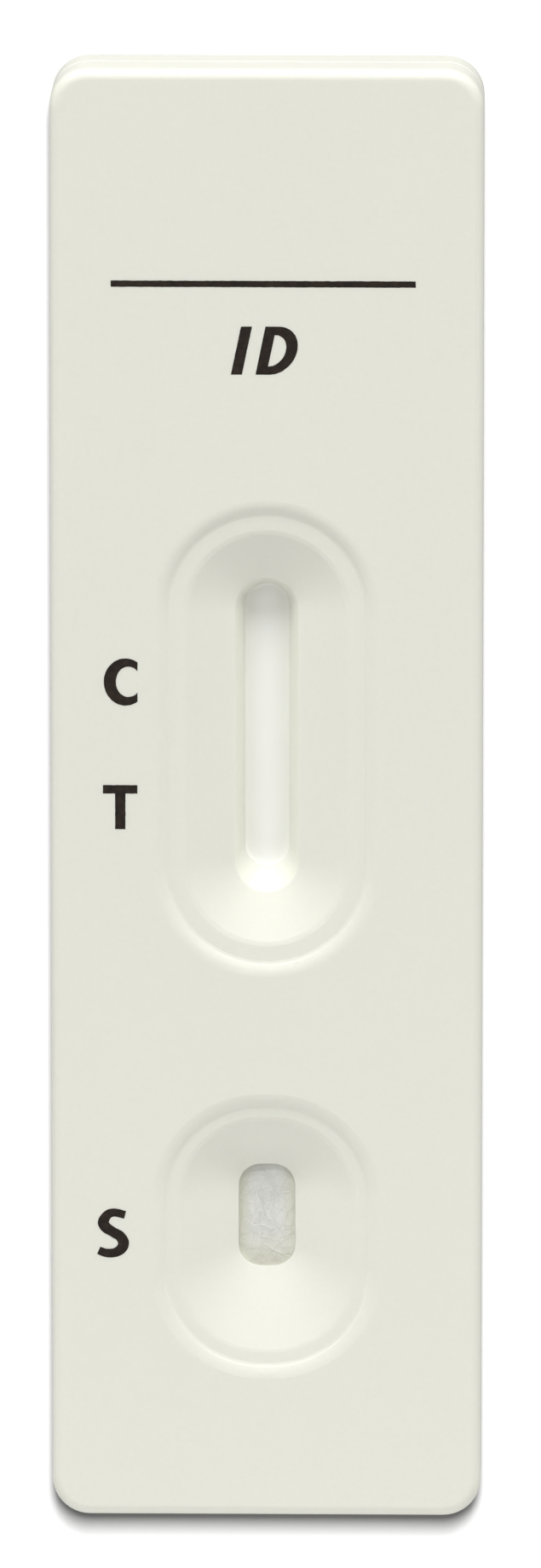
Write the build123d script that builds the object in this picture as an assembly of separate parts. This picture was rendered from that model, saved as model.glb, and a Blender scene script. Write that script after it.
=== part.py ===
from build123d import *

import os
from math import radians, tan

# Lateral flow test cassette: two moulded shells pressed together around a test strip.
# Millimetres. Z is up, with the base at z = 0. Y runs along the strip, from the sample well
# towards the absorbent pad. X runs across the strip, and the origin is under the middle.

# Outside of the closed cassette
LENGTH = 70.0
WIDTH = 20.5
HEIGHT = 5.0
CORNER_RADIUS = 1.8
TOP_EDGE_RADIUS = 0.5
BASE_EDGE_CHAMFER = 0.3

# Moulded walls and the seam where the shells meet
SIDE_WALL = 1.3
ROOF = 1.1
FLOOR = 1.0
INNER_CORNER_RADIUS = 0.6
SEAM_HEIGHT = 2.4
SEAM_CHAMFER = 0.12
LIP_HEIGHT = 0.5
LIP_THICKNESS = 0.6
LIP_CLEARANCE = 0.05

# Six-sided pins of the upper shell, whose corners grip the round sockets of the lower shell
PIN_RADIUS = 0.9
PIN_CLEARANCE = 0.03
PIN_TIP_CHAMFER = 0.2
PIN_END_GAP = 0.2
PIN_SHOULDER = 0.7
SOCKET_WALL = 0.8
PIN_SIDE_INSET = 2.7
PIN_END_INSET = 4.0
PIN_ROWS = 3

# Rim and ledge around both recesses of the top face
RIM_RUN = 0.4
RIM_DROP = 0.22
RIM_EDGE_ROUNDING = 1.1
RIM_ROUNDING = 0.3
LEDGE_DROP = 0.07
LEDGE_ROUNDING = 0.8
MOUTH_ROUNDING = 0.15
COLLAR_WALL = 0.9

# Result window
WINDOW_Y = 2.85
SLOT_WIDTH = 3.0
SLOT_LENGTH = 15.2
SLOT_SIDE_DRAFT = 22.5
SLOT_FAR_DRAFT = 22.5
SLOT_NEAR_DRAFT = 45.0
WINDOW_LEDGE_RUN = 0.88
WINDOW_FUNNEL_RUN = 2.35
WINDOW_DEPTH = 1.25

# Sample well, whose hole sits a little nearer to the window than the recess does
WELL_WIDTH = 10.4
WELL_LENGTH = 13.35
WELL_END_FLAT = 0.5
WELL_LEDGE_RUN = 0.62
WELL_DEPTH = 1.5
WELL_HOLE_SHIFT = 0.75
WELL_HOLE_WIDTH = 2.7
WELL_HOLE_LENGTH = 5.0
WELL_HOLE_CORNER = 1.05
WELL_BOSS_RUN = 3.0

# Test strip, which ends some way short of the end walls
STRIP_END_ROOM = 3.7
STRIP_WIDTH = 4.0
BACKING_THICKNESS = 0.3
MEMBRANE_THICKNESS = 0.2
CONJUGATE_THICKNESS = 0.35
SAMPLE_PAD_THICKNESS = 0.8
ABSORBENT_THICKNESS = 0.8
CONJUGATE_LENGTH = 8.0
CONJUGATE_LAP = 1.5
SAMPLE_LAP = 2.0
ABSORBENT_LAP = 2.0
CONJUGATE_STANDOFF = 0.6
ABSORBENT_STANDOFF = 3.6
WELL_STANDOFF = 2.9
LAP_RAMP = 0.8

# Strip bed in the lower shell
BED_HEIGHT = 1.0
BED_RIB = 1.0
BED_RIB_PITCH = 5.0
RAIL_THICKNESS = 0.8
RAIL_GAP = 2.5
RAIL_COUNT = 4
STRIP_CLEARANCE = 0.15
STOP_THICKNESS = 0.8
STOP_RISE = 0.4

# Hold-down bars under the roof
HOLD_DOWN_GAP = 0.05
BAR_THICKNESS = 0.8
BAR_OVERHANG = 0.6

# How closely an edge's height has to match when edges are picked by height
HEIGHT_TOLERANCE = 0.001

# Heights that follow from the sizes above
FLOOR_ROOT = FLOOR / 2
ROOF_UNDERSIDE = HEIGHT - ROOF
BED_TOP = FLOOR + BED_HEIGHT
BACKING_TOP = BED_TOP + BACKING_THICKNESS
MEMBRANE_TOP = BACKING_TOP + MEMBRANE_THICKNESS
CONJUGATE_TOP = BACKING_TOP + CONJUGATE_THICKNESS
SAMPLE_PAD_TOP = BACKING_TOP + SAMPLE_PAD_THICKNESS
SAMPLE_LAP_TOP = CONJUGATE_TOP + SAMPLE_PAD_THICKNESS
ABSORBENT_TOP = BACKING_TOP + ABSORBENT_THICKNESS
ABSORBENT_LAP_TOP = MEMBRANE_TOP + ABSORBENT_THICKNESS
RIM_FOOT = HEIGHT - RIM_DROP
LEDGE_FOOT = RIM_FOOT - LEDGE_DROP
SLOT_MOUTH = HEIGHT - WINDOW_DEPTH
SLOT_FOOT = MEMBRANE_TOP + HOLD_DOWN_GAP
HOLE_MOUTH = HEIGHT - WELL_DEPTH
HOLE_FOOT = SAMPLE_PAD_TOP + HOLD_DOWN_GAP

# Places along the strip, laid out from the result window
STRIP_END = LENGTH / 2 - SIDE_WALL - STRIP_END_ROOM
STRIP_START = -STRIP_END
STRIP_LENGTH = STRIP_END - STRIP_START
COLLAR_START = WINDOW_Y - SLOT_LENGTH / 2 - COLLAR_WALL
COLLAR_END = WINDOW_Y + SLOT_LENGTH / 2 + COLLAR_WALL
CONJUGATE_END = COLLAR_START - CONJUGATE_STANDOFF
MEMBRANE_START = CONJUGATE_END - CONJUGATE_LAP
CONJUGATE_START = CONJUGATE_END - CONJUGATE_LENGTH
SAMPLE_PAD_END = CONJUGATE_START + SAMPLE_LAP
ABSORBENT_START = COLLAR_END + ABSORBENT_STANDOFF
MEMBRANE_END = ABSORBENT_START + ABSORBENT_LAP
WELL_HOLE_Y = CONJUGATE_START - WELL_STANDOFF - COLLAR_WALL - WELL_HOLE_LENGTH / 2
WELL_Y = WELL_HOLE_Y - WELL_HOLE_SHIFT

RAIL_INNER_X = STRIP_WIDTH / 2 + STRIP_CLEARANCE
RAIL_OUTER_X = RAIL_INNER_X + RAIL_THICKNESS


def outline(inset=0.0, corner=CORNER_RADIUS):
    """Plan of the cassette, drawn in from its outside by inset."""
    return RectangleRounded(WIDTH - 2 * inset, LENGTH - 2 * inset, corner)


def block(x_size, y_low, y_high, z_low, z_high):
    """Box centred on the strip's line, between two places along it and two heights."""
    centre = Pos(0, (y_low + y_high) / 2, (z_low + z_high) / 2)
    return centre * Box(x_size, y_high - y_low, z_high - z_low)


def post(radius, z_low, z_high):
    """Upright cylinder between two heights."""
    return Pos(0, 0, (z_low + z_high) / 2) * Cylinder(radius, z_high - z_low)


def pin_places():
    """Plan positions of the pins, in rows along both long sides."""
    x = WIDTH / 2 - PIN_SIDE_INSET
    y_first = PIN_END_INSET - LENGTH / 2
    pitch = -2 * y_first / (PIN_ROWS - 1)
    return [Pos(side * x, y_first + row * pitch) for row in range(PIN_ROWS) for side in (-1, 1)]


def edges_at(solid, height):
    """Edges of a solid that lie at one height."""
    return solid.edges().filter_by_position(Axis.Z, height - HEIGHT_TOLERANCE, height + HEIGHT_TOLERANCE)


def rounded_loop(solid, height, radius):
    """Rounds the closed loop of edges that lies at one height."""
    return fillet(edges_at(solid, height), radius)


def slot_plan(grow):
    """Plan of the window's slot, grown all round."""
    return SlotOverall(SLOT_LENGTH + 2 * grow, SLOT_WIDTH + 2 * grow, rotation=90)


def window_section(grow, height):
    return Pos(0, WINDOW_Y, height) * slot_plan(grow)


def hole_section(grow, height):
    """Plan of the well's hole, grown all round, at one height."""
    plan = RectangleRounded(
        WELL_HOLE_WIDTH + 2 * grow, WELL_HOLE_LENGTH + 2 * grow, WELL_HOLE_CORNER + grow
    )
    return Pos(0, WELL_HOLE_Y, height) * plan


def well_section(inset, height):
    """Plan of the well's recess, drawn in from its rim, at one height."""
    width = WELL_WIDTH - 2 * inset
    plan = RectangleRounded(width, WELL_LENGTH - 2 * inset, (width - WELL_END_FLAT) / 2)
    return Pos(0, WELL_Y, height) * plan


def window_recess():
    """The space of the result window: its rim, ledge and funnel, and the slot below them."""
    ledge = WINDOW_FUNNEL_RUN + WINDOW_LEDGE_RUN
    space = loft(
        [
            window_section(ledge + RIM_RUN, HEIGHT),
            window_section(ledge, RIM_FOOT),
            window_section(WINDOW_FUNNEL_RUN, LEDGE_FOOT),
            window_section(0, SLOT_MOUTH),
        ],
        ruled=True,
    )
    space = rounded_loop(space, LEDGE_FOOT, LEDGE_ROUNDING)
    space = rounded_loop(space, RIM_FOOT, RIM_ROUNDING)
    return rounded_loop(space + window_slot(), SLOT_MOUTH, MOUTH_ROUNDING)


def window_slot():
    """The slot below the funnel, whose walls lean in towards the membrane, most of all at its near end."""
    depth = SLOT_MOUTH - SLOT_FOOT
    foot_width = SLOT_WIDTH - 2 * depth * tan(radians(SLOT_SIDE_DRAFT))
    far_lean = depth * tan(radians(SLOT_FAR_DRAFT))
    near_lean = depth * tan(radians(SLOT_NEAR_DRAFT))
    foot_plan = SlotOverall(SLOT_LENGTH - far_lean - near_lean, foot_width, rotation=90)
    foot = Pos(0, WINDOW_Y + (near_lean - far_lean) / 2, SLOT_FOOT) * foot_plan
    return loft([window_section(0, SLOT_MOUTH), foot], ruled=True)


def window_boss():
    """Wall under the window's funnel, and the collar that ends just above the membrane."""
    foot = max(SLOT_MOUTH - COLLAR_WALL, SLOT_FOOT)
    funnel = loft(
        [
            window_section(WINDOW_FUNNEL_RUN + COLLAR_WALL, ROOF_UNDERSIDE),
            window_section(COLLAR_WALL, foot),
        ],
        ruled=True,
    )
    collar = extrude(window_section(COLLAR_WALL, SLOT_FOOT), SLOT_MOUTH - SLOT_FOOT)
    return funnel + collar


def well_recess():
    """The space of the sample well: its rim, ledge and lopsided funnel, and the hole below them."""
    space = loft(
        [
            well_section(0, HEIGHT),
            well_section(RIM_RUN, RIM_FOOT),
            well_section(RIM_RUN + WELL_LEDGE_RUN, LEDGE_FOOT),
            hole_section(0, HOLE_MOUTH),
        ],
        ruled=True,
    )
    space = rounded_loop(space, LEDGE_FOOT, LEDGE_ROUNDING)
    space = rounded_loop(space, RIM_FOOT, RIM_ROUNDING)
    return space + extrude(hole_section(0, HOLE_FOOT), HOLE_MOUTH - HOLE_FOOT)


def well_boss():
    """Wall under the well's funnel, and the collar that holds the sample pad down."""
    foot = max(HOLE_MOUTH - COLLAR_WALL, HOLE_FOOT)
    funnel = loft(
        [
            hole_section(COLLAR_WALL + WELL_BOSS_RUN, ROOF_UNDERSIDE),
            hole_section(COLLAR_WALL, foot),
        ],
        ruled=True,
    )
    collar = extrude(hole_section(COLLAR_WALL, HOLE_FOOT), HOLE_MOUTH - HOLE_FOOT)
    return funnel + collar


def hold_down_bars():
    """Bars across the strip that press its laps and its far end together."""
    far_end = STRIP_END - ABSORBENT_LAP
    tops = [
        ((CONJUGATE_START + SAMPLE_PAD_END) / 2, SAMPLE_LAP_TOP),
        ((ABSORBENT_START + MEMBRANE_END) / 2, ABSORBENT_LAP_TOP),
        ((MEMBRANE_END + far_end) / 2, ABSORBENT_TOP),
        (far_end, ABSORBENT_TOP),
    ]
    width = STRIP_WIDTH + 2 * BAR_OVERHANG
    half = BAR_THICKNESS / 2
    return [block(width, y - half, y + half, top + HOLD_DOWN_GAP, ROOF_UNDERSIDE) for y, top in tops]


def hexagon_post(radius, z_low, z_high):
    """Upright six-sided post between two heights, with its corners at radius."""
    return extrude(Pos(0, 0, z_low) * RegularPolygon(radius, 6), z_high - z_low)


def pin():
    """One pin with the shoulder that rests on its socket."""
    shoulder = hexagon_post(PIN_RADIUS + PIN_SHOULDER, SEAM_HEIGHT, ROOF_UNDERSIDE)
    tip_height = FLOOR + PIN_END_GAP
    shank = hexagon_post(PIN_RADIUS, tip_height, SEAM_HEIGHT)
    return shoulder + chamfer(edges_at(shank, tip_height), PIN_TIP_CHAMFER)


def lip(clearance=0.0):
    """Ring on the lower shell's wall that the upper shell fits over, grown by a clearance."""
    outer = SIDE_WALL - LIP_THICKNESS - clearance
    outer_plan = outline(outer, INNER_CORNER_RADIUS + LIP_THICKNESS + clearance)
    ring = outer_plan - outline(SIDE_WALL + clearance, INNER_CORNER_RADIUS)
    return extrude(Pos(0, 0, SEAM_HEIGHT) * ring, LIP_HEIGHT + clearance)


def rim_edges(shell):
    """Edges of the top face around both recesses, which lie inside the side walls."""
    half_width = WIDTH / 2 - SIDE_WALL
    half_length = LENGTH / 2 - SIDE_WALL
    inside = edges_at(shell, HEIGHT).filter_by_position(Axis.X, -half_width, half_width)
    return inside.filter_by_position(Axis.Y, -half_length, half_length)


def upper_housing():
    shell = extrude(Pos(0, 0, SEAM_HEIGHT) * outline(), HEIGHT - SEAM_HEIGHT)
    shell = chamfer(edges_at(shell, SEAM_HEIGHT), SEAM_CHAMFER)
    shell = rounded_loop(shell, HEIGHT, TOP_EDGE_RADIUS)
    cavity = outline(SIDE_WALL, INNER_CORNER_RADIUS)
    shell -= extrude(Pos(0, 0, SEAM_HEIGHT) * cavity, ROOF_UNDERSIDE - SEAM_HEIGHT)
    shell += [window_boss(), well_boss(), *hold_down_bars()]
    shell += [place * pin() for place in pin_places()]
    shell -= lip(LIP_CLEARANCE)
    shell -= [window_recess(), well_recess()]
    return fillet(rim_edges(shell), RIM_EDGE_ROUNDING)


def strip_bed():
    """Ribs that carry the strip, its guide rails in spaced lengths, and a stop at each end."""
    stop_inside = STRIP_LENGTH / 2 + STRIP_CLEARANCE
    width = 2 * RAIL_OUTER_X
    pieces = [block(width, COLLAR_START, COLLAR_END, FLOOR_ROOT, BED_TOP)]
    rib_count = int((STRIP_LENGTH - BED_RIB) // BED_RIB_PITCH) + 1
    first = -(rib_count - 1) * BED_RIB_PITCH / 2
    for index in range(rib_count):
        y = first + index * BED_RIB_PITCH
        pieces.append(block(width, y - BED_RIB / 2, y + BED_RIB / 2, FLOOR_ROOT, BED_TOP))
    rail_length = (2 * stop_inside - (RAIL_COUNT - 1) * RAIL_GAP) / RAIL_COUNT
    for index in range(RAIL_COUNT):
        y = -stop_inside + index * (rail_length + RAIL_GAP)
        rail = block(RAIL_THICKNESS, y, y + rail_length, FLOOR_ROOT, BACKING_TOP)
        offset = RAIL_INNER_X + RAIL_THICKNESS / 2
        pieces += [Pos(side * offset, 0, 0) * rail for side in (-1, 1)]
    stop_top = BACKING_TOP + STOP_RISE
    pieces.append(block(width, stop_inside, stop_inside + STOP_THICKNESS, FLOOR_ROOT, stop_top))
    pieces.append(block(width, -stop_inside - STOP_THICKNESS, -stop_inside, FLOOR_ROOT, stop_top))
    return pieces


def lower_housing():
    shell = extrude(outline(), SEAM_HEIGHT)
    shell = chamfer(edges_at(shell, SEAM_HEIGHT), SEAM_CHAMFER)
    shell = chamfer(edges_at(shell, 0), BASE_EDGE_CHAMFER)
    cavity = outline(SIDE_WALL, INNER_CORNER_RADIUS)
    shell -= extrude(Pos(0, 0, FLOOR) * cavity, SEAM_HEIGHT - FLOOR)
    shell += strip_bed()
    socket_radius = PIN_RADIUS + PIN_CLEARANCE
    shell += [place * post(socket_radius + SOCKET_WALL, FLOOR_ROOT, SEAM_HEIGHT) for place in pin_places()]
    shell -= [place * post(socket_radius, FLOOR, SEAM_HEIGHT) for place in pin_places()]
    return shell + lip()


def strip_layer(points):
    """Layer of the strip: a side profile of (place along, height) points, as wide as the strip."""
    profile = make_face(Polyline(*[(0, y, z) for y, z in points], close=True))
    return extrude(profile, STRIP_WIDTH / 2, both=True)


def lapped_pad(y_far, y_lap, y_over, thickness, lap_floor):
    """Pad that lies on the card from y_far, then climbs onto its neighbour between y_lap and y_over."""
    ramp = LAP_RAMP if y_lap > y_far else -LAP_RAMP
    return strip_layer(
        [
            (y_far, BACKING_TOP),
            (y_lap - ramp, BACKING_TOP),
            (y_lap, lap_floor),
            (y_over, lap_floor),
            (y_over, lap_floor + thickness),
            (y_lap, lap_floor + thickness),
            (y_lap - ramp, BACKING_TOP + thickness),
            (y_far, BACKING_TOP + thickness),
        ]
    )


def backing_card():
    return block(STRIP_WIDTH, STRIP_START, STRIP_END, BED_TOP, BACKING_TOP)


def membrane():
    return block(STRIP_WIDTH, MEMBRANE_START, MEMBRANE_END, BACKING_TOP, MEMBRANE_TOP)


def conjugate_pad():
    return lapped_pad(CONJUGATE_START, MEMBRANE_START, CONJUGATE_END, CONJUGATE_THICKNESS, MEMBRANE_TOP)


def sample_pad():
    return lapped_pad(STRIP_START, CONJUGATE_START, SAMPLE_PAD_END, SAMPLE_PAD_THICKNESS, CONJUGATE_TOP)


def absorbent_pad():
    return lapped_pad(STRIP_END, MEMBRANE_END, ABSORBENT_START, ABSORBENT_THICKNESS, MEMBRANE_TOP)


PIECES = [
    upper_housing,
    lower_housing,
    backing_card,
    membrane,
    conjugate_pad,
    sample_pad,
    absorbent_pad,
]


def main():
    os.makedirs("parts", exist_ok=True)
    for piece in PIECES:
        export_step(piece(), f"parts/{piece.__name__}.step")


if __name__ == "__main__":
    main()
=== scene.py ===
import math
import random

import bpy
from mathutils import Matrix, Vector, noise


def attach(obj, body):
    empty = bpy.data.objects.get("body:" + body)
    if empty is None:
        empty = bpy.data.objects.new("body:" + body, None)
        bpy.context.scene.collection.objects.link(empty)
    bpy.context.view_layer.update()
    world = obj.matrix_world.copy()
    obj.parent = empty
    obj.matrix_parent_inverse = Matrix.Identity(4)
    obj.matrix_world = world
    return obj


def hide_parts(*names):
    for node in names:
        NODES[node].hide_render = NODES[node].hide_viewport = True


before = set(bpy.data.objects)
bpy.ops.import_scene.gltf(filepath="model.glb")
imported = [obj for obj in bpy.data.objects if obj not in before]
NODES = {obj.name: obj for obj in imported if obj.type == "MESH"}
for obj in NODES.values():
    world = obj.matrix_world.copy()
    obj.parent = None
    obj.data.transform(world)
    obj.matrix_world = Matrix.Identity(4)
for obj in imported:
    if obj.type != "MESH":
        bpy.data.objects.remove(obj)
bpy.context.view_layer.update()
MM = 0.001

# Heights above the base, repeated from the solids.
# Sizes and places are in millimetres, unless a comment says otherwise.
TOP_FACE = 5.0
CONJUGATE_TOP = 2.65
SLOT_FOOT = 2.55
MEMBRANE_TOP = 2.5
BACKING_TOP = 2.3

# Strip, repeated from the solids: its half width, the ramp before a lap, and each pad's ends and lap along Y.
STRIP_HALF_WIDTH = 2.0
LAP_RAMP = 0.8
SAMPLE_NEAR = -30.0
SAMPLE_LAP = -14.25
SAMPLE_FAR = -12.25
SAMPLE_THICKNESS = 0.8
CONJUGATE_NEAR = -14.25
CONJUGATE_LAP = -7.75
CONJUGATE_FAR = -6.25
CONJUGATE_THICKNESS = 0.35
ABSORBENT_NEAR = 14.95
ABSORBENT_LAP = 16.95
ABSORBENT_FAR = 30.0
ABSORBENT_THICKNESS = 0.8

# Plan of the well's hole, repeated from the solids, and the steps of its outline.
HOLE_CENTRE_Y = -20.55
HOLE_HALF_WIDTH = 1.35
HOLE_HALF_LENGTH = 2.5
HOLE_CORNER = 1.05
HOLE_END_STEPS = 4
HOLE_SIDE_STEPS = 20
HOLE_ARC_STEPS = 14

# Foot of the window's slot, repeated from the solids, the lean of its walls over a millimetre of height,
# what its near end leans more than that, and the steps of its outline.
SLOT_FOOT_RADIUS = 1.003
SLOT_FAR_CENTRE = 8.95
SLOT_NEAR_CENTRE = -2.547
SLOT_SIDE_LEAN = 0.4142
SLOT_NEAR_LEAN = 0.5858
SLOT_SIDE_STEPS = 20
SLOT_ARC_STEPS = 24

# Pads: cell of the mesh, rounding of the cut edges, and lumps by height and by rate along X and Y.
PAD_CELL = 0.1
PAD_EDGE_ROUNDING = 0.07
PAD_LUMP = 0.03
LUMP_COARSE_RATE = (1.6, 1.1)
LUMP_FINE_RATE = (4.2, 3.1)

# Swelling of the sample pad in the hole: its rise at both ends, its lean to one side, its crown, its root,
# and its rings as shares of the way in from the wall.
SWELL_FAR = 0.16
SWELL_NEAR = 0.3
SWELL_LEAN = 0.04
SWELL_CROWN = 0.05
SWELL_CROWN_RUN = 0.7
SWELL_ROOT = 0.2
SWELL_INSETS = (0.004, 0.012, 0.03, 0.06, 0.1, 0.16, 0.24, 0.34, 0.46, 0.6, 0.76, 0.94)

# Fibres: their tubes, how they wander, and how they arch over the mat and dip into it.
FIBRE_SIDES = 4
FIBRE_STEP = 0.14
FIBRE_MARGIN = 0.05
FIBRE_TURN = 0.2
FIBRE_WANDER = 0.1
FIBRE_BEND = 0.5
FIBRE_ARCH = 0.007
FIBRE_LOFT = 0.010
FIBRE_SINK = 0.008

# Groups of fibres, each as (count, half width, range along Y, lengths, radii).
HOLE_SPAN = (HOLE_CENTRE_Y - HOLE_HALF_LENGTH + 0.2, HOLE_CENTRE_Y + HOLE_HALF_LENGTH - 0.2)
SAMPLE_FIBRES = (
    (260, HOLE_HALF_WIDTH - 0.1, HOLE_SPAN, (0.8, 2.6), (0.006, 0.011)),
    (24, HOLE_HALF_WIDTH - 0.2, HOLE_SPAN, (1.2, 3.0), (0.010, 0.014)),
    (150, STRIP_HALF_WIDTH - 0.1, (-29.8, -23.1), (1.0, 3.0), (0.012, 0.026)),
    (130, STRIP_HALF_WIDTH - 0.1, (-18.0, -12.5), (1.0, 3.0), (0.012, 0.026)),
)
SAMPLE_STRANDS = ((26, HOLE_HALF_WIDTH - 0.45, HOLE_SPAN, (0.9, 2.2), (0.010, 0.016)),)
CONJUGATE_FIBRES = ((260, STRIP_HALF_WIDTH - 0.1, (-14.1, -6.4), (0.8, 2.4), (0.010, 0.022)),)
ABSORBENT_FIBRES = ((360, STRIP_HALF_WIDTH - 0.1, (15.2, 29.8), (0.6, 1.8), (0.012, 0.028)),)

# Porous face of the membrane, and the bead on it that rounds the corner at the foot of the slot.
FACE_HEIGHTS = (2.49, 2.545)
FACE_HALF_WIDTH = 1.97
FACE_NEAR = -6.1
FACE_FAR = 14.8
BEAD_RUN = 0.15
BEAD_RISE = 0.139
BEAD_CLEARANCE = 0.004
BEAD_ROOT = 0.02
BEAD_NEAR_STRETCH = 5.0
BEAD_STEPS = 8

# Ink film, the wobble of its edge, and the steps of the legends' curves and bars.
INK_BASE = 4.99
INK_TOP = 5.008
INK_WOBBLE = 0.012
INK_WOBBLE_RATE = 6.0
INK_WOBBLE_SHIFT = Vector((9.0, 4.0, 2.0))
CURVE_STEPS = 40
STROKE_STEPS = 6
BAR_STEPS = 24
LINE_STEPS = 160

# Legends: arcs as (centre, radii, first angle, last angle), bars as (left, low, right, high),
# and the S as a brush stroke along points about its centre, with half its width at each.
C_OUTER = ((-6.69, 5.626), (1.03, 1.138), 56.0, 304.0)
C_INNER = ((-6.55, 5.633), (0.595, 0.733), 44.0, 316.0)
T_BAR = (-7.77, 0.23, -6.13, 0.64)
T_STEM = (-7.19, -1.49, -6.70, 0.23)
S_CENTRE = (-7.323, -21.145)
S_SPINE = (
    (0.571, 0.886), (0.093, 0.993), (-0.234, 0.910), (-0.463, 0.566), (-0.362, 0.292), (-0.024, 0.054),
    (0.326, -0.159), (0.495, -0.469), (0.385, -0.778), (0.046, -0.973), (-0.374, -0.968), (-0.689, -0.849),
)
S_HALVES = (0.19, 0.195, 0.215, 0.26, 0.265, 0.24, 0.25, 0.265, 0.25, 0.215, 0.205, 0.19)
WRITE_ON_LINE = (-7.36, 24.62, 7.06, 24.92)

# Letters ID, upright before they are slanted: base and top, the sides of both stems,
# and the centre and half width of both sides of the bowl.
ID_BASE = 20.43
ID_TOP = 22.73
ID_SLANT = 0.21
I_LEFT, I_RIGHT = -1.68, -1.16
D_LEFT, D_RIGHT = -0.52, 0.0
D_STROKE = 0.40
D_OUTER_X, D_OUTER_HALF = 0.14, 1.08
D_INNER_X, D_INNER_HALF = 0.04, 0.64

# Floor, in metres.
FLOOR_HALF = 1.5
FLOOR_DROP = 0.00003

# Soft lights as (name, aim, elevation, azimuth off +Y, distance, size, level), in metres and degrees:
# a wide key and a top light beyond the far end, fills before the near end and at both sides,
# and a lamp for the paper alone.
MIDDLE = (0.0, 0.0, 0.005)
NEAR_END = (0.0, -0.035, 0.005)
CASSETTE_LIGHTS = (
    ("key", MIDDLE, 25.0, 0.0, 1.0, (1.6, 0.35), 1.22),
    ("top_light", MIDDLE, 60.0, 0.0, 1.0, (1.2, 0.5), 0.165),
    ("low_fill", NEAR_END, 12.0, 182.0, 0.12, (0.15, 0.03), 0.40),
    ("high_fill", NEAR_END, 35.0, 184.0, 0.14, (0.16, 0.06), 0.165),
    ("left_fill", MIDDLE, 20.0, -90.0, 1.0, (0.6, 0.3), 0.13),
    ("right_fill", MIDDLE, 20.0, 90.0, 1.0, (0.6, 0.3), 0.13),
)
PAPER_LAMP = ("paper_lamp", MIDDLE, 71.0, 5.0, 1.0, (0.10, 0.20), 3.4)
SKY_LEVEL = 0.35
TABLE_LEVEL = 0.52
HORIZON_BLUR = 0.1

# Camera, as found from the outline and the recesses in the photograph. Leans are in degrees.
CAMERA_LEAN_Y = 11.0
CAMERA_LEAN_X = 1.2
CAMERA_DISTANCE = 800.0
CAMERA_SENSOR = 36.0
CAMERA_LENS = 386.65
CAMERA_AIM_RIGHT = 0.196
CAMERA_AIM_UP = 0.708


def blank_material(name, sockets):
    """Node material with one Principled shader, whose constant sockets are set by name."""
    material = bpy.data.materials.new(name)
    material.use_nodes = True
    tree = material.node_tree
    shader = tree.nodes["Principled BSDF"]
    for socket, value in sockets.items():
        shader.inputs[socket].default_value = value
    return material, tree, shader


def grain(tree, size, detail=2.0, stretch=(1.0, 1.0, 1.0)):
    """Noise in the part's own coordinates, with features of about that size."""
    place = tree.nodes.new("ShaderNodeTexCoord")
    mapping = tree.nodes.new("ShaderNodeMapping")
    mapping.inputs["Scale"].default_value = [1 / (size * MM * share) for share in stretch]
    texture = tree.nodes.new("ShaderNodeTexNoise")
    texture.inputs["Scale"].default_value = 1.0
    texture.inputs["Detail"].default_value = detail
    tree.links.new(place.outputs["Object"], mapping.inputs["Vector"])
    tree.links.new(mapping.outputs["Vector"], texture.inputs["Vector"])
    return texture.outputs["Fac"]


def remap(tree, value, low=0.0, high=1.0, start=0.3, end=0.7):
    """Value between start and end, spread between low and high."""
    node = tree.nodes.new("ShaderNodeMapRange")
    node.inputs["From Min"].default_value = start
    node.inputs["From Max"].default_value = end
    node.inputs["To Min"].default_value = low
    node.inputs["To Max"].default_value = high
    tree.links.new(value, node.inputs["Value"])
    return node.outputs["Result"]


def along(tree, axis, start, end):
    """Value that goes from 0 to 1 between two places on an axis of the part."""
    place = tree.nodes.new("ShaderNodeTexCoord")
    split = tree.nodes.new("ShaderNodeSeparateXYZ")
    tree.links.new(place.outputs["Object"], split.inputs["Vector"])
    return remap(tree, split.outputs[axis], start=start * MM, end=end * MM)


def tones(tree, value, first, second):
    """Colour that runs from first to second as a value goes from 0 to 1."""
    node = tree.nodes.new("ShaderNodeMix")
    node.data_type = "RGBA"
    node.inputs["A"].default_value = (*first, 1.0)
    node.inputs["B"].default_value = (*second, 1.0)
    tree.links.new(value, node.inputs["Factor"])
    return node.outputs["Result"]


def blend_colours(tree, value, first, second):
    """Colour that runs between two node outputs as a value goes from 0 to 1."""
    node = tree.nodes.new("ShaderNodeMix")
    node.data_type = "RGBA"
    tree.links.new(first, node.inputs["A"])
    tree.links.new(second, node.inputs["B"])
    tree.links.new(value, node.inputs["Factor"])
    return node.outputs["Result"]


def scaled(colour, *shares):
    """Colour with its channels scaled by one share, or by one each."""
    each = shares if len(shares) == len(colour) else shares * len(colour)
    return [channel * share for channel, share in zip(colour, each)]


def link_surface(tree, shader, colour, roughness, layers):
    """Colour and roughness of a shader, and its bump in layers of (height, depth, strength)."""
    tree.links.new(colour, shader.inputs["Base Color"])
    tree.links.new(roughness, shader.inputs["Roughness"])
    normal = None
    for height, depth, strength in layers:
        node = tree.nodes.new("ShaderNodeBump")
        node.inputs["Strength"].default_value = strength
        node.inputs["Distance"].default_value = depth * MM
        tree.links.new(height, node.inputs["Height"])
        if normal is not None:
            tree.links.new(normal, node.inputs["Normal"])
        normal = node.outputs["Normal"]
    tree.links.new(normal, shader.inputs["Normal"])


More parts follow.
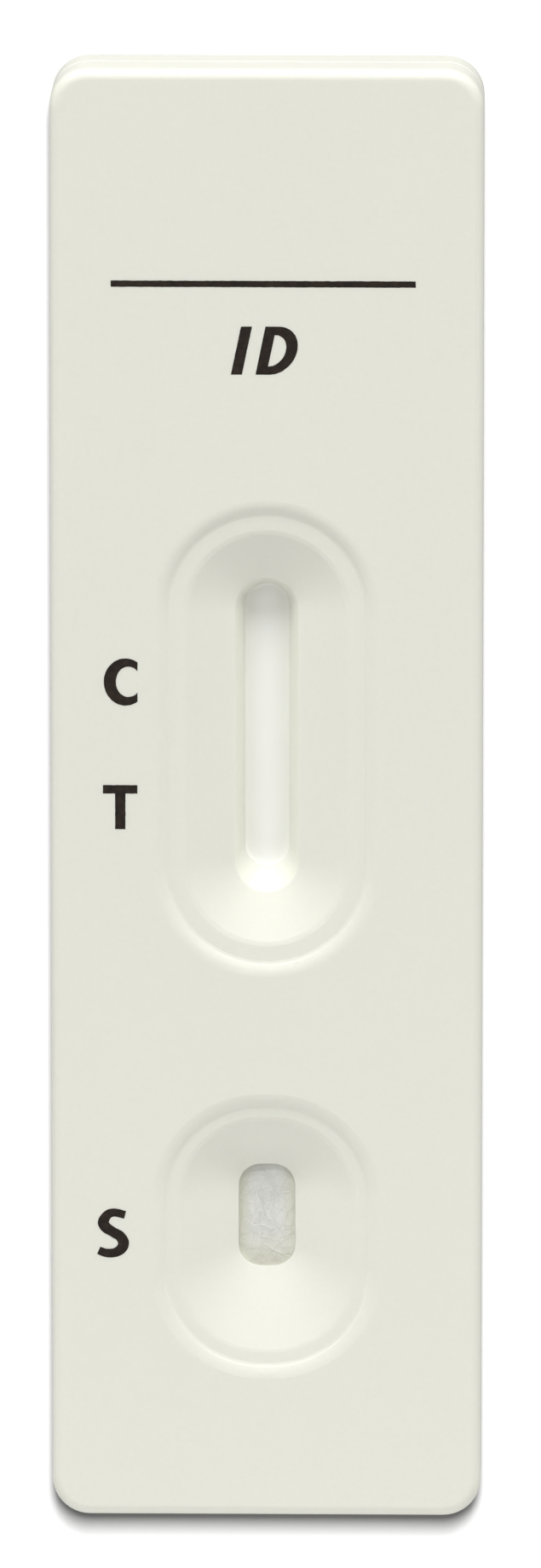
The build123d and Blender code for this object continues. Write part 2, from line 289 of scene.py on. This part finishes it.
def moulded_plastic(name, colour, mottle):
    """Satin cream polystyrene with the fine grain of a spark-eroded mould."""
    material, tree, shader = blank_material(
        name,
        {
            "IOR": 1.5,
            "Subsurface Weight": 0.2,
            "Subsurface Radius": (1.0, 0.92, 0.75),
            "Subsurface Scale": 0.0005,
        },
    )
    deeper = scaled(colour, 1 - mottle)
    flow = remap(tree, grain(tree, size=9.0, detail=3.0, stretch=(1.0, 1.6, 1.0)))
    cloud = tones(tree, flow, deeper, colour)
    speckle = tones(tree, remap(tree, grain(tree, size=0.22)), scaled(deeper, 1 - 0.6 * mottle), colour)
    half = remap(tree, grain(tree, size=1.6, detail=1.0), low=0.35, high=0.65)
    surface = blend_colours(tree, half, cloud, speckle)
    roughness = remap(tree, grain(tree, size=0.4), low=0.36, high=0.46)
    waves = grain(tree, size=2.6, detail=1.0)
    pits = grain(tree, size=0.11)
    link_surface(tree, shader, surface, roughness, [(waves, 0.004, 0.35), (pits, 0.003, 0.35)])
    return material


def film(name, colour, mottle, size, side):
    """Smooth matt porous film, deeper and warmer in tone towards both sides by about the share in side:
    painted shade, warmed as by light from the cream walls beside it.
    """
    material, tree, shader = blank_material(name, {"IOR": 1.45})
    deeper = scaled(colour, 1 - mottle)
    side_shade_scale = (1 - side, 1 - side, 1 - 1.5 * side)
    cloud = remap(tree, grain(tree, size, detail=4.0, stretch=(1.0, 1.5, 1.0)))
    surface = tones(tree, cloud, deeper, colour)
    # Painted shade: the film is darker and warmer towards both sides, as beside the slot's walls.
    painted_side_shade = tones(tree, cloud, scaled(deeper, *side_shade_scale), scaled(colour, *side_shade_scale))
    for edge in (1.0, -1.0):
        surface = blend_colours(tree, along(tree, "X", start=0.1 * edge, end=edge), surface, painted_side_shade)
    roughness = remap(tree, grain(tree, size=0.3), low=0.72, high=0.86)
    pores = grain(tree, size=0.08, detail=3.0)
    link_surface(tree, shader, surface, roughness, [(pores, 0.004, 0.5)])
    return material


def fibre_mat(name, colour, shade, tint_and_painted_shade, tint_and_painted_shade_end, tint_and_painted_shade_sides):
    """Matted fibres, with tufts of two tones and a warmer tone towards one end and both sides: on the sample
    pad and its strands this is painted shade, warmed as by the cream walls round the hole; on the other pads
    it is their own tint.
    """
    material, tree, shader = blank_material(name, {"IOR": 1.47, "Sheen Weight": 0.15, "Sheen Roughness": 0.4})
    tufts = grain(tree, size=0.28, detail=4.0, stretch=(1.0, 2.2, 1.0))
    tuft = remap(tree, tufts, start=0.36, end=0.64)
    surface = tones(tree, tuft, shade, colour)
    # Tones towards one end and both sides: painted shade on the sample pad and its strands, a tint on the
    # other pads.
    tint_and_painted_shade_tones = tones(tree, tuft, scaled(tint_and_painted_shade, 0.97), tint_and_painted_shade)
    other_side = [-place for place in tint_and_painted_shade_sides]
    for axis, reach in (("Y", tint_and_painted_shade_end), ("X", tint_and_painted_shade_sides), ("X", other_side)):
        surface = blend_colours(tree, along(tree, axis, *reach), surface, tint_and_painted_shade_tones)
    roughness = remap(tree, grain(tree, size=0.2), low=0.7, high=0.92)
    threads = grain(tree, size=0.09, detail=3.0, stretch=(1.0, 2.5, 1.0))
    link_surface(tree, shader, surface, roughness, [(threads, 0.006, 0.35)])
    return material


def ink(name):
    """Dark pad-printed ink, thin in places."""
    material, tree, shader = blank_material(name, {"IOR": 1.36})
    thin = remap(tree, grain(tree, size=0.32, detail=3.0))
    surface = tones(tree, thin, (0.009, 0.006, 0.004), (0.027, 0.017, 0.011))
    roughness = remap(tree, grain(tree, size=0.15), low=0.45, high=0.65)
    link_surface(tree, shader, surface, roughness, [(grain(tree, size=0.06), 0.003, 0.4)])
    return material


def dress(node, material):
    """Give a solid of the frame its material."""
    NODES[node].data.materials.clear()
    NODES[node].data.materials.append(material)


def new_piece(name, points, faces, material):
    """Mesh object which rides with the cassette."""
    mesh = bpy.data.meshes.new(name)
    mesh.from_pydata([Vector(point) * MM for point in points], [], faces)
    mesh.shade_smooth()
    mesh.set_sharp_from_angle(angle=math.radians(40))
    mesh.materials.append(material)
    piece = bpy.data.objects.new(name, mesh)
    bpy.context.scene.collection.objects.link(piece)
    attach(piece, "root")
    return piece


def smooth_step(value):
    """Value held between 0 and 1 and eased at both."""
    share = min(1.0, max(0.0, value))
    return share * share * (3 - 2 * share)


def arc(centre, radii, start, end, count):
    """Points on an ellipse between two angles in degrees."""
    angles = [math.radians(start + (end - start) * i / count) for i in range(count + 1)]
    return [(centre[0] + radii[0] * math.cos(a), centre[1] + radii[1] * math.sin(a)) for a in angles]


def join_rings(faces, low, high, count):
    """Quads between two rings of points, which start at the indices low and high."""
    for i in range(count):
        following = (i + 1) % count
        faces.append((low + i, low + following, high + following, high + i))


def hole_depth(x, y):
    """How far inside the well's hole a place is, in plan; below nought outside it."""
    out_x = abs(x) - (HOLE_HALF_WIDTH - HOLE_CORNER)
    out_y = abs(y - HOLE_CENTRE_Y) - (HOLE_HALF_LENGTH - HOLE_CORNER)
    outside = math.hypot(max(out_x, 0.0), max(out_y, 0.0))
    return HOLE_CORNER - outside - min(max(out_x, out_y), 0.0)


def hole_outline():
    """Plan of the hole about its centre, anticlockwise from its near end and the same on either side."""
    flat_x = HOLE_HALF_WIDTH - HOLE_CORNER
    flat_y = HOLE_HALF_LENGTH - HOLE_CORNER
    radii = (HOLE_CORNER, HOLE_CORNER)
    ends = range(HOLE_END_STEPS)
    half = [(flat_x * i / HOLE_END_STEPS, -HOLE_HALF_LENGTH) for i in ends]
    half += arc((flat_x, -flat_y), radii, -90.0, 0.0, HOLE_ARC_STEPS)
    half += [(HOLE_HALF_WIDTH, flat_y * (2 * i / HOLE_SIDE_STEPS - 1)) for i in range(1, HOLE_SIDE_STEPS)]
    half += arc((flat_x, flat_y), radii, 0.0, 90.0, HOLE_ARC_STEPS)
    half += [(flat_x * (HOLE_END_STEPS - 1 - i) / HOLE_END_STEPS, HOLE_HALF_LENGTH) for i in ends]
    return half + [(-x, y) for x, y in reversed(half[1:-1])]


def swelling(x, y):
    """Rise of the sample pad where the hole leaves it free."""
    depth = hole_depth(x, y)
    if depth <= 0.0:
        return 0.0
    share = (HOLE_CENTRE_Y + HOLE_HALF_LENGTH - y) / (2 * HOLE_HALF_LENGTH)
    level = SWELL_FAR + (SWELL_NEAR - SWELL_FAR) * share + SWELL_LEAN * x
    return level + SWELL_CROWN * smooth_step(depth / SWELL_CROWN_RUN)


def add_tube(points, faces, line, radius):
    """Closed tube round a line, thinner at its ends."""
    start = len(points)
    last = len(line) - 1
    for index, centre in enumerate(line):
        ahead = line[min(index + 1, last)] - line[max(index - 1, 0)]
        if ahead.length < 1e-6:
            ahead = Vector((1.0, 0.0, 0.0))
        side = ahead.cross(Vector((0.0, 0.0, 1.0))).normalized()
        rise = side.cross(ahead).normalized()
        size = radius * (0.5 if index in (0, last) else 1.0)
        for corner in range(FIBRE_SIDES):
            angle = 2 * math.pi * corner / FIBRE_SIDES
            points.append(centre + size * (math.cos(angle) * side + math.sin(angle) * rise))
    for index in range(last):
        ring = start + index * FIBRE_SIDES
        join_rings(faces, ring, ring + FIBRE_SIDES, FIBRE_SIDES)
    faces.append(tuple(start + corner for corner in reversed(range(FIBRE_SIDES))))
    faces.append(tuple(start + last * FIBRE_SIDES + corner for corner in range(FIBRE_SIDES)))


class Pad:
    """Soft pad of the strip, which lies on the card up to its lap, and beyond it on its neighbour."""

    def __init__(self, y_end, y_lap, y_over, thickness, lap_floor, seed, swells=False):
        self.y_low = min(y_end, y_over)
        self.y_high = max(y_end, y_over)
        self.y_lap = y_lap
        self.ramp_start = y_lap - math.copysign(LAP_RAMP, y_over - y_end)
        self.thickness = thickness
        self.lap_floor = lap_floor
        self.swells = swells
        self.random = random.Random(seed)
        self.shift = Vector((seed * 3.1, seed * 1.7, seed * 0.9))

    def swell(self, x, y):
        """Rise of the mat, which only the pad under the hole has."""
        return swelling(x, y) if self.swells else 0.0

    def under(self, y):
        """Height of the pad's underside."""
        share = (y - self.ramp_start) / (self.y_lap - self.ramp_start)
        return BACKING_TOP + (self.lap_floor - BACKING_TOP) * min(1.0, max(0.0, share))

    def over(self, x, y, swell=0.0):
        """Height of the pad's upper side, lumpy and rounded at its cut edges."""
        edge = min(STRIP_HALF_WIDTH - abs(x), y - self.y_low, self.y_high - y)
        rounding = PAD_EDGE_ROUNDING * (1 - smooth_step(edge / (3 * PAD_EDGE_ROUNDING)))
        coarse = Vector((x * LUMP_COARSE_RATE[0], y * LUMP_COARSE_RATE[1], 0.0))
        fine = Vector((x * LUMP_FINE_RATE[0], y * LUMP_FINE_RATE[1], 5.0))
        lump = noise.noise(coarse + self.shift) + 0.5 * noise.noise(fine + self.shift)
        loose = PAD_LUMP * (1.0 + swell)
        return self.under(y) + self.thickness + swell - rounding + loose * (0.6 * lump - 0.3)

    def body(self):
        """Points and faces of the closed mat."""
        columns = round(2 * STRIP_HALF_WIDTH / PAD_CELL)
        rows = round((self.y_high - self.y_low) / PAD_CELL)
        xs = [-STRIP_HALF_WIDTH + 2 * STRIP_HALF_WIDTH * i / columns for i in range(columns + 1)]
        ys = [self.y_low + (self.y_high - self.y_low) * j / rows for j in range(rows + 1)]
        points = [(x, y, self.over(x, y)) for y in ys for x in xs]
        points += [(x, y, self.under(y)) for y in ys for x in xs]
        wide = columns + 1
        below = wide * (rows + 1)
        faces = []
        for j in range(rows):
            for i in range(columns):
                a = j * wide + i
                faces.append((a, a + 1, a + wide + 1, a + wide))
                faces.append((below + a, below + a + wide, below + a + wide + 1, below + a + 1))
        for i in range(columns):
            far = rows * wide + i
            faces.append((i, below + i, below + i + 1, i + 1))
            faces.append((far + 1, below + far + 1, below + far, far))
        for j in range(rows):
            left = j * wide
            right = left + columns
            faces.append((left + wide, below + left + wide, below + left, left))
            faces.append((right, below + right, below + right + wide, right + wide))
        return points, faces

    def add_swelling(self, points, faces):
        """Closed form that fills the hole from wall to wall, in rings from the wall to the middle line."""
        outline = hole_outline()
        count = len(outline)
        spine = HOLE_HALF_LENGTH - HOLE_HALF_WIDTH
        start = len(points)
        for ring, inset in enumerate((SWELL_INSETS[0], *SWELL_INSETS)):
            for out_x, out_y in outline:
                x = out_x * (1 - inset)
                y = HOLE_CENTRE_Y + out_y + (min(spine, max(-spine, out_y)) - out_y) * inset
                rise = self.swell(x, y) if ring else -SWELL_ROOT
                points.append((x, y, self.over(x, y, rise)))
        for ring in range(len(SWELL_INSETS)):
            low = start + ring * count
            join_rings(faces, low, low + count, count)
        last = start + len(SWELL_INSETS) * count
        half = count // 2
        faces.append((last, last + 1, last + count - 1))
        for i in range(1, half - 1):
            faces.append((last + i, last + i + 1, last + count - i - 1, last + count - i))
        faces.append((last + half - 1, last + half, last + half + 1))
        faces.append(tuple(start + i for i in reversed(range(count))))

    def fibre_line(self, x, y, length):
        """Line of a fibre that wanders over the mat, dips in at both ends and stops at the hole's wall."""
        heading = self.random.uniform(0, 2 * math.pi)
        turn = self.random.uniform(-FIBRE_TURN, FIBRE_TURN)
        lift = self.random.uniform(0.0, 1.0)
        count = max(5, round(length / FIBRE_STEP))
        free = self.swell(x, y) > 0.0
        height = FIBRE_ARCH + (FIBRE_LOFT * lift if free else 0.0)
        line = []
        for step in range(count):
            share = step / (count - 1)
            turn += self.random.uniform(-FIBRE_WANDER, FIBRE_WANDER)
            heading += turn * FIBRE_BEND
            x += FIBRE_STEP * math.cos(heading)
            y += FIBRE_STEP * math.sin(heading)
            x = min(STRIP_HALF_WIDTH - FIBRE_MARGIN, max(FIBRE_MARGIN - STRIP_HALF_WIDTH, x))
            y = min(self.y_high - FIBRE_MARGIN, max(self.y_low + FIBRE_MARGIN, y))
            swell = self.swell(x, y)
            if (swell > 0.0) != free:
                break
            arch = math.sin(math.pi * share) * height - FIBRE_SINK
            line.append(Vector((x, y, self.over(x, y, swell) + arch)))
        return line

    def add_fibres(self, points, faces, groups):
        """Tubes of all groups of fibres."""
        for count, half_width, y_range, lengths, radii in groups:
            for _ in range(count):
                x = self.random.uniform(-half_width, half_width)
                y = self.random.uniform(*y_range)
                line = self.fibre_line(x, y, self.random.uniform(*lengths))
                radius = self.random.uniform(*radii)
                if len(line) > 2:
                    add_tube(points, faces, line, radius)

    def build(self, node, material, groups):
        """Piece that takes the place of a pad's solid: the mat, its swelling and its fibres."""
        points, faces = self.body()
        if self.swells:
            self.add_swelling(points, faces)
        self.add_fibres(points, faces, groups)
        piece = new_piece(node + "_mat", points, faces, material)
        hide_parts(node)

    def build_strands(self, name, material, groups):
        """Piece of loose fibres alone."""
        points, faces = [], []
        self.add_fibres(points, faces, groups)
        new_piece(name, points, faces, material)


def slot_ring(height, inset):
    """Plan of the window's slot at a height above its foot, drawn in by an inset, most at its near end."""
    radius = SLOT_FOOT_RADIUS + SLOT_SIDE_LEAN * height - inset
    near = SLOT_NEAR_CENTRE - SLOT_NEAR_LEAN * height + BEAD_NEAR_STRETCH * (inset - BEAD_CLEARANCE)
    run = SLOT_FAR_CENTRE - near
    sides = range(1, SLOT_SIDE_STEPS)
    ring = arc((0.0, SLOT_FAR_CENTRE), (radius, radius), 0.0, 180.0, SLOT_ARC_STEPS)
    ring += [(-radius, SLOT_FAR_CENTRE - run * i / SLOT_SIDE_STEPS) for i in sides]
    ring += arc((0.0, near), (radius, radius), 180.0, 360.0, SLOT_ARC_STEPS)
    ring += [(radius, near + run * i / SLOT_SIDE_STEPS) for i in sides]
    return ring


def add_bead(points, faces):
    """Closed bead round the slot's foot, hollow in section, which runs from the wall down onto the film."""
    sink = SLOT_FOOT - FACE_HEIGHTS[1]
    section = [(-BEAD_ROOT, BEAD_CLEARANCE), (0.0, BEAD_CLEARANCE)]
    for step in range(BEAD_STEPS + 1):
        share = step / BEAD_STEPS
        section.append(((BEAD_RISE + sink) * (1 - share) ** 2 - sink, BEAD_CLEARANCE + BEAD_RUN * share**2))
    section.append((-BEAD_ROOT, BEAD_CLEARANCE + BEAD_RUN))
    rings = [[(x, y, SLOT_FOOT + height) for x, y in slot_ring(height, inset)] for height, inset in section]
    start = len(points)
    count = len(rings[0])
    for index, ring in enumerate(rings):
        points += ring
        following = (index + 1) % len(rings)
        join_rings(faces, start + index * count, start + following * count, count)


def membrane_face(material):
    """Film on the membrane, which fills the height up to the window's collar and rises at the slot's foot."""
    ends = ((FACE_NEAR, -FACE_HALF_WIDTH, FACE_HALF_WIDTH), (FACE_FAR, FACE_HALF_WIDTH, -FACE_HALF_WIDTH))
    points = [(x, y, z) for z in FACE_HEIGHTS for y, *xs in ends for x in xs]
    faces = [(3, 2, 1, 0), (4, 5, 6, 7), (0, 1, 5, 4), (1, 2, 6, 5), (2, 3, 7, 6), (3, 0, 4, 7)]
    add_bead(points, faces)
    new_piece("membrane_face", points, faces, material)


def bar(x_low, y_low, x_high, y_high, count):
    """Two long sides of an upright or level bar, as a ribbon."""
    if y_high - y_low > x_high - x_low:
        ys = [y_low + (y_high - y_low) * i / count for i in range(count + 1)]
        return [(x_low, y) for y in ys], [(x_high, y) for y in ys]
    xs = [x_low + (x_high - x_low) * i / count for i in range(count + 1)]
    return [(x, y_high) for x in xs], [(x, y_low) for x in xs]


def on_curve(p0, p1, p2, p3, t):
    """Place at a share of the way from p1 to p2, on a smooth line through all four points."""
    slope = (p2 - p0) * t
    bend = (2 * p0 - 5 * p1 + 4 * p2 - p3) * t**2
    twist = (3 * p1 - p0 - 3 * p2 + p3) * t**3
    return 0.5 * (2 * p1 + slope + bend + twist)


def stroke(spine, halves, parts):
    """Two sides of a brush stroke along a smooth line through the spine's points, as a ribbon."""
    fine, widths = [], []
    for i in range(len(spine) - 1):
        nearby = [Vector(spine[min(max(k, 0), len(spine) - 1)]) for k in range(i - 1, i + 3)]
        for step in range(parts):
            t = step / parts
            fine.append(on_curve(*nearby, t))
            widths.append(halves[i] + (halves[i + 1] - halves[i]) * t)
    fine.append(Vector(spine[-1]))
    widths.append(halves[-1])
    left, right = [], []
    for i, point in enumerate(fine):
        ahead = (fine[min(i + 1, len(fine) - 1)] - fine[max(i - 1, 0)]).normalized()
        across = Vector((-ahead.y, ahead.x)) * widths[i]
        left.append(tuple(point + across))
        right.append(tuple(point - across))
    return left, right


def slanted(ribbon, base, slant):
    """A ribbon leaned over as an italic is, about its base line."""
    return tuple([(x + (y - base) * slant, y) for x, y in side] for side in ribbon)


def letter_d():
    """Ribbon of an upright D, closed round its bowl and its stem."""
    middle = (ID_BASE + ID_TOP) / 2
    half = (ID_TOP - ID_BASE) / 2
    outer = arc((D_OUTER_X, middle), (D_OUTER_HALF, half), 90.0, -90.0, CURVE_STEPS)
    inner = arc((D_INNER_X, middle), (D_INNER_HALF, half - D_STROKE), 90.0, -90.0, CURVE_STEPS)
    stem_outer = [(D_LEFT, ID_BASE), (D_LEFT, ID_TOP)]
    stem_inner = [(D_RIGHT, ID_BASE + D_STROKE), (D_RIGHT, ID_TOP - D_STROKE)]
    return outer + stem_outer + outer[:1], inner + stem_inner + inner[:1]


def wobbled(x, y):
    """A point of the print's edge, moved a little as ink spreads."""
    place = Vector((x * INK_WOBBLE_RATE, y * INK_WOBBLE_RATE, 0.0))
    moved_x = x + INK_WOBBLE * noise.noise(place)
    moved_y = y + INK_WOBBLE * noise.noise(place + INK_WOBBLE_SHIFT)
    return moved_x, moved_y


def print_piece(name, ribbons, material):
    """Film of ink made of ribbons, each two sides of equal count; a closed one ends where it starts."""
    points, faces = [], []
    for left, right in ribbons:
        closed = math.dist(left[0], left[-1]) < 1e-6
        count = len(left) - 1 if closed else len(left)
        start = len(points)
        for i in range(count):
            for x, y in (wobbled(*left[i]), wobbled(*right[i])):
                points.append((x, y, INK_TOP))
                points.append((x, y, INK_BASE))
        for i in range(count if closed else count - 1):
            a = start + 4 * i
            b = start + 4 * ((i + 1) % count)
            faces.append((a, a + 2, b + 2, b))
            faces.append((a + 1, b + 1, b + 3, a + 3))
            faces.append((a, b, b + 1, a + 1))
            faces.append((a + 2, a + 3, b + 3, b + 2))
        if not closed:
            end = start + 4 * (count - 1)
            faces.append((start, start + 1, start + 3, start + 2))
            faces.append((end, end + 2, end + 3, end + 1))
    new_piece(name, points, faces, material)


def pale_floor():
    """Sheet of paper under the cassette, which takes its shadow and throws no light back."""
    mesh = bpy.data.meshes.new("floor")
    corners = ((-1, -1), (1, -1), (1, 1), (-1, 1))
    mesh.from_pydata([(x * FLOOR_HALF, y * FLOOR_HALF, -FLOOR_DROP) for x, y in corners], [], [(0, 1, 2, 3)])
    paper, tree, shader = blank_material("floor_paper", {"Roughness": 0.9, "IOR": 1.3})
    cloud = remap(tree, grain(tree, size=40.0))
    tree.links.new(tones(tree, cloud, (0.31, 0.31, 0.31), (0.32, 0.32, 0.32)), shader.inputs["Base Color"])
    mesh.materials.append(paper)
    floor = bpy.data.objects.new("floor", mesh)
    bpy.context.scene.collection.objects.link(floor)
    floor.visible_diffuse = False
    floor.visible_glossy = False
    floor.visible_shadow = False
    return floor


def soft_light(name, aim, elevation, azimuth, distance, size, level):
    """Rectangular soft light that looks at a place; level is its light on a white card there."""
    data = bpy.data.lights.new(name, "AREA")
    data.shape = "RECTANGLE"
    data.size, data.size_y = size
    data.energy = level * (math.pi * distance) ** 2
    light = bpy.data.objects.new(name, data)
    bpy.context.scene.collection.objects.link(light)
    rise, turn = math.radians(elevation), math.radians(azimuth)
    towards = Vector((math.cos(rise) * math.sin(turn), math.cos(rise) * math.cos(turn), math.sin(rise)))
    light.location = Vector(aim) + towards * distance
    light.rotation_mode = "QUATERNION"
    light.rotation_quaternion = (-towards).to_track_quat("-Z", "Y")
    return light


def light_studio(floor):
    """All lamps: one lights the paper alone, the others all but the paper."""
    cassette_lights = [soft_light(*values) for values in CASSETTE_LIGHTS]
    paper_only = bpy.data.collections.new("paper_only")
    paper_only.objects.link(floor)
    soft_light(*PAPER_LAMP).light_linking.receiver_collection = paper_only
    all_but_paper = bpy.data.collections.new("all_but_paper")
    all_but_paper.objects.link(floor)
    all_but_paper.collection_objects[0].light_linking.link_state = "EXCLUDE"
    for light in cassette_lights:
        light.light_linking.receiver_collection = all_but_paper


def surround_studio():
    """White surroundings, with one level for the sky and another for light thrown back by a table."""
    world = bpy.data.worlds.new("studio")
    world.use_nodes = True
    tree = world.node_tree
    sky = tree.nodes["Background"]
    sky.inputs["Color"].default_value = (1.0, 1.0, 1.0, 1.0)
    facing = tree.nodes.new("ShaderNodeTexCoord")
    split = tree.nodes.new("ShaderNodeSeparateXYZ")
    tree.links.new(facing.outputs["Generated"], split.inputs["Vector"])
    level = remap(tree, split.outputs["Z"], TABLE_LEVEL, SKY_LEVEL, start=-HORIZON_BLUR, end=HORIZON_BLUR)
    tree.links.new(level, sky.inputs["Strength"])
    bpy.context.scene.world = world
    bpy.context.scene.view_settings.view_transform = "Standard"


def place_camera():
    """Camera above the cassette, leaning from upright towards +Y and a little towards +X."""
    data = bpy.data.cameras.new("camera")
    data.sensor_width = CAMERA_SENSOR
    data.lens = CAMERA_LENS
    camera = bpy.data.objects.new("camera", data)
    bpy.context.scene.collection.objects.link(camera)
    lean_x = math.tan(math.radians(CAMERA_LEAN_X))
    lean_y = math.tan(math.radians(CAMERA_LEAN_Y))
    back = Vector((lean_x, lean_y, 1.0)).normalized()
    right = Vector((0.0, 1.0, 0.0)).cross(back).normalized()
    up = back.cross(right)
    aim = Vector((0.0, 0.0, TOP_FACE)) + CAMERA_AIM_RIGHT * right + CAMERA_AIM_UP * up
    turned = Matrix((right, up, back)).transposed().to_4x4()
    camera.matrix_world = Matrix.Translation((aim + CAMERA_DISTANCE * back) * MM) @ turned
    bpy.context.scene.camera = camera


# Housing, card and membrane keep their solids.
housing_colour = (0.80, 0.80, 0.715)
# The membrane's film has painted shade, darker and warmer towards both sides of the slot.
membrane_film = film("membrane_film", (0.965, 0.968, 0.925), mottle=0.015, size=0.9, side=0.075)
dress("upper_housing", moulded_plastic("upper_plastic", housing_colour, mottle=0.018))
dress("lower_housing", moulded_plastic("lower_plastic", scaled(housing_colour, 0.985), mottle=0.022))
dress("membrane", membrane_film)
dress("backing_card", film("card_film", (0.86, 0.86, 0.85), mottle=0.015, size=2.5, side=0.0))
membrane_face(membrane_film)

# Pads of the strip, as mats with loose fibres.
# The sample pad's darker, warmer tone at the hole's near end and sides is painted shade, warmed as by the
# cream walls.
sample_fibre = fibre_mat(
    "sample_fibre",
    colour=(0.712, 0.717, 0.676),
    shade=(0.686, 0.691, 0.646),
    tint_and_painted_shade=(0.678, 0.673, 0.582),
    tint_and_painted_shade_end=(-21.4, -22.6),
    tint_and_painted_shade_sides=(0.7, 1.15),
)
# The strands take the same painted shade towards the hole's near end and sides.
strand_fibre = fibre_mat(
    "strand_fibre",
    colour=(0.85, 0.855, 0.82),
    shade=(0.82, 0.825, 0.785),
    tint_and_painted_shade=(0.78, 0.775, 0.70),
    tint_and_painted_shade_end=(-21.4, -22.6),
    tint_and_painted_shade_sides=(0.7, 1.15),
)
conjugate_fibre = fibre_mat(
    "conjugate_fibre",
    colour=(0.72, 0.58, 0.60),
    shade=(0.60, 0.46, 0.49),
    tint_and_painted_shade=(0.74, 0.63, 0.63),
    tint_and_painted_shade_end=(-9.0, -7.0),
    tint_and_painted_shade_sides=(1.5, 2.0),
)
absorbent_fibre = fibre_mat(
    "absorbent_fibre",
    colour=(0.84, 0.84, 0.80),
    shade=(0.76, 0.76, 0.72),
    tint_and_painted_shade=(0.82, 0.81, 0.76),
    tint_and_painted_shade_end=(17.0, 15.0),
    tint_and_painted_shade_sides=(1.5, 2.0),
)
sample_pad = Pad(SAMPLE_NEAR, SAMPLE_LAP, SAMPLE_FAR, SAMPLE_THICKNESS, CONJUGATE_TOP, seed=3, swells=True)
sample_pad.build("sample_pad", sample_fibre, SAMPLE_FIBRES)
sample_pad.build_strands("sample_pad_strands", strand_fibre, SAMPLE_STRANDS)
conjugate_pad = Pad(CONJUGATE_NEAR, CONJUGATE_LAP, CONJUGATE_FAR, CONJUGATE_THICKNESS, MEMBRANE_TOP, seed=5)
conjugate_pad.build("conjugate_pad", conjugate_fibre, CONJUGATE_FIBRES)
absorbent_pad = Pad(ABSORBENT_FAR, ABSORBENT_LAP, ABSORBENT_NEAR, ABSORBENT_THICKNESS, MEMBRANE_TOP, seed=7)
absorbent_pad.build("absorbent_pad", absorbent_fibre, ABSORBENT_FIBRES)

# Print on the top face.
print_ink = ink("print_ink")
s_line = [(S_CENTRE[0] + x, S_CENTRE[1] + y) for x, y in S_SPINE]
id_letters = (bar(I_LEFT, ID_BASE, I_RIGHT, ID_TOP, BAR_STEPS), letter_d())
print_piece("legend_control", [(arc(*C_OUTER, CURVE_STEPS), arc(*C_INNER, CURVE_STEPS))], print_ink)
print_piece("legend_test", [bar(*T_BAR, BAR_STEPS), bar(*T_STEM, BAR_STEPS)], print_ink)
print_piece("legend_sample", [stroke(s_line, S_HALVES, STROKE_STEPS)], print_ink)
print_piece("write_on_line", [bar(*WRITE_ON_LINE, LINE_STEPS)], print_ink)
print_piece("write_on_label", [slanted(letter, ID_BASE, ID_SLANT) for letter in id_letters], print_ink)

# Floor, light and camera.
light_studio(pale_floor())
surround_studio()
place_camera()
